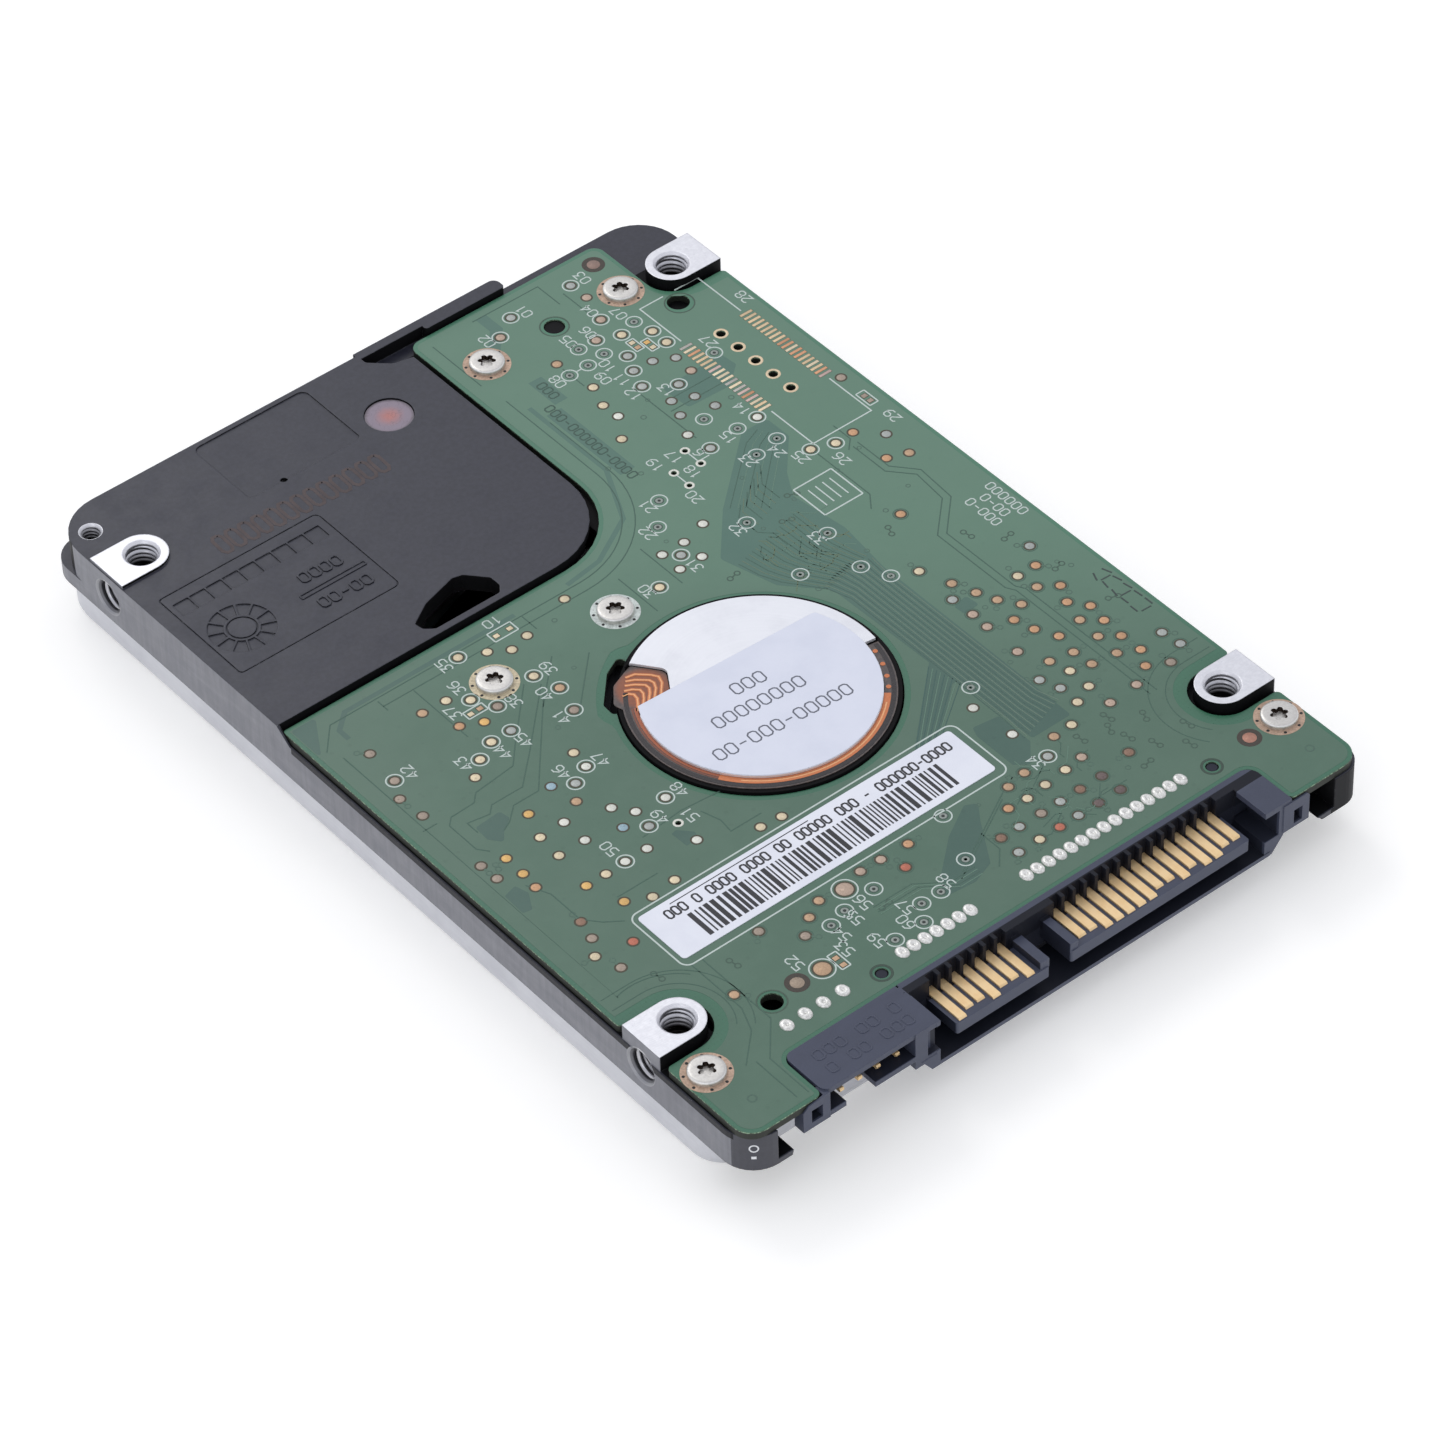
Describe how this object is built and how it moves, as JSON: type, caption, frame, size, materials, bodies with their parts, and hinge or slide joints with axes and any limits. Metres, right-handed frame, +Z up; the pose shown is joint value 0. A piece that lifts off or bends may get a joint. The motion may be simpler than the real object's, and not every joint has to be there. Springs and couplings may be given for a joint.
{
  "type": "2.5 inch hard disk drive",
  "caption": "Slim hard disk drive: black cast base, green circuit board with a round motor opening, edge connector and four threaded bosses; sealed disk pack and swinging head arm inside.",
  "frame": {"origin": "centre of the bounding box at the cover face, which is the face it lies on", "axes": "+Z up out of the circuit board side, -Y the connector end, +X to the right seen from the connector end"},
  "size_m": [0.0698, 0.1002, 0.0095],
  "materials": {
    "black_casting": "black electrophoretic coat on cast aluminium, satin gloss",
    "cover_steel": "pressed stainless sheet, fine brushed",
    "rubber_black": "formed seal, matt",
    "screw_steel": "nickel plated steel screws",
    "label_white": "coated label stock",
    "seal_grey": "foil and adhesive seal",
    "board_green": "green solder mask over glass laminate",
    "foam_dark": "thin insulating foam",
    "chip_black": "moulded epoxy",
    "ceramic_tan": "ceramic capacitors with tinned ends",
    "connector_plastic": "dark blue grey moulded nylon",
    "contact_gold": "gold plated contacts",
    "solder_tin": "bright tin solder",
    "flex_orange": "polyimide flexible circuit",
    "motor_aluminium": "machined, bright",
    "lamination_steel": "stacked silicon steel",
    "copper_wire": "enamelled copper wire",
    "bronze": "sintered bearing bronze",
    "ground_steel": "ground and polished steel",
    "magnet_grey": "nickel plated magnet",
    "disk_mirror": "sputtered and lubricated disk surface",
    "arm_aluminium": "machined aluminium",
    "overmold_black": "glass filled resin",
    "slider_ceramic": "alumina titanium carbide",
    "latch_plastic": "natural acetal",
    "ramp_plastic": "natural liquid crystal polymer",
    "filter_fibre": "electret fibre felt"
  },
  "bodies": {
    "body": {"base_casting": "black_casting", "top_cover": "cover_steel", "cover_gasket": "rubber_black", "cover_screws": "screw_steel", "pivot_cover_screw": "screw_steel", "cover_label": "label_white", "base_seal": "seal_grey", "circuit_board": "board_green", "board_screws": "screw_steel", "board_insulator": "foam_dark", "controller_chip": "chip_black", "cache_memory_chip": "chip_black", "motor_driver_chip": "chip_black", "board_small_chips": "chip_black", "board_capacitors": "ceramic_tan", "sata_housing": "connector_plastic", "sata_contacts": "contact_gold", "jumper_pins": "contact_gold", "solder_joints": "solder_tin", "head_connector_block": "chip_black", "motor_flex": "flex_orange", "motor_bracket": "motor_aluminium", "motor_label": "label_white", "barcode_label": "label_white", "stator_core": "lamination_steel", "stator_coils": "copper_wire", "bearing_sleeve": "bronze", "bearing_end_cap": "ground_steel", "pivot_shaft": "ground_steel", "upper_yoke": "magnet_grey", "lower_yoke": "magnet_grey", "upper_magnet": "magnet_grey", "lower_magnet": "magnet_grey", "yoke_posts": "ground_steel", "crash_stops": "rubber_black", "latch_pin": "ground_steel", "load_ramp": "ramp_plastic", "ramp_screw": "screw_steel", "flex_cable": "flex_orange", "flex_bracket": "arm_aluminium", "recirculation_filter": "filter_fibre", "breather_filter": "filter_fibre"},
    "disk_pack": {"spindle_shaft": "ground_steel", "spindle_hub": "motor_aluminium", "rotor_magnet": "magnet_grey", "lower_platter": "disk_mirror", "platter_spacer": "arm_aluminium", "upper_platter": "disk_mirror", "disk_clamp": "arm_aluminium", "clamp_screws": "screw_steel"},
    "actuator": {"actuator_arm_block": "arm_aluminium", "voice_coil": "copper_wire", "coil_overmold": "overmold_black", "head_suspensions": "ground_steel", "head_sliders": "slider_ceramic", "pivot_bearing_sleeve": "ground_steel", "preamp_chip": "chip_black"},
    "pivot_ball_set": {"pivot_balls": "ground_steel"},
    "latch": {"inertial_latch": "latch_plastic"}
  },
  "joints": [
    {"name": "spindle_spin", "type": "hinge", "parent": "body", "child": "disk_pack", "pos_m": [0, -0.0097, 0.0032], "axis": [0, 0, 1], "continuous": true},
    {"name": "actuator_swing", "type": "hinge", "parent": "body", "child": "actuator", "pos_m": [-0.0015, 0.031, 0.0044], "axis": [0, 0, 1], "range_deg": [-32.7, 0], "deforming": ["flex_cable"]},
    {"name": "pivot_ball_orbit", "type": "hinge", "parent": "body", "child": "pivot_ball_set", "pos_m": [-0.0015, 0.031, 0.0044], "axis": [0, 0, 1], "range_deg": [-14, 0]},
    {"name": "latch_swing", "type": "hinge", "parent": "body", "child": "latch", "pos_m": [-0.0246, 0.0276, 0.0044], "axis": [0, 0, 1], "range_deg": [0, 14]}
  ],
  "couplings": [
    {"joint": "pivot_ball_orbit", "follows": "actuator_swing", "ratio": 0.3831}
  ]
}
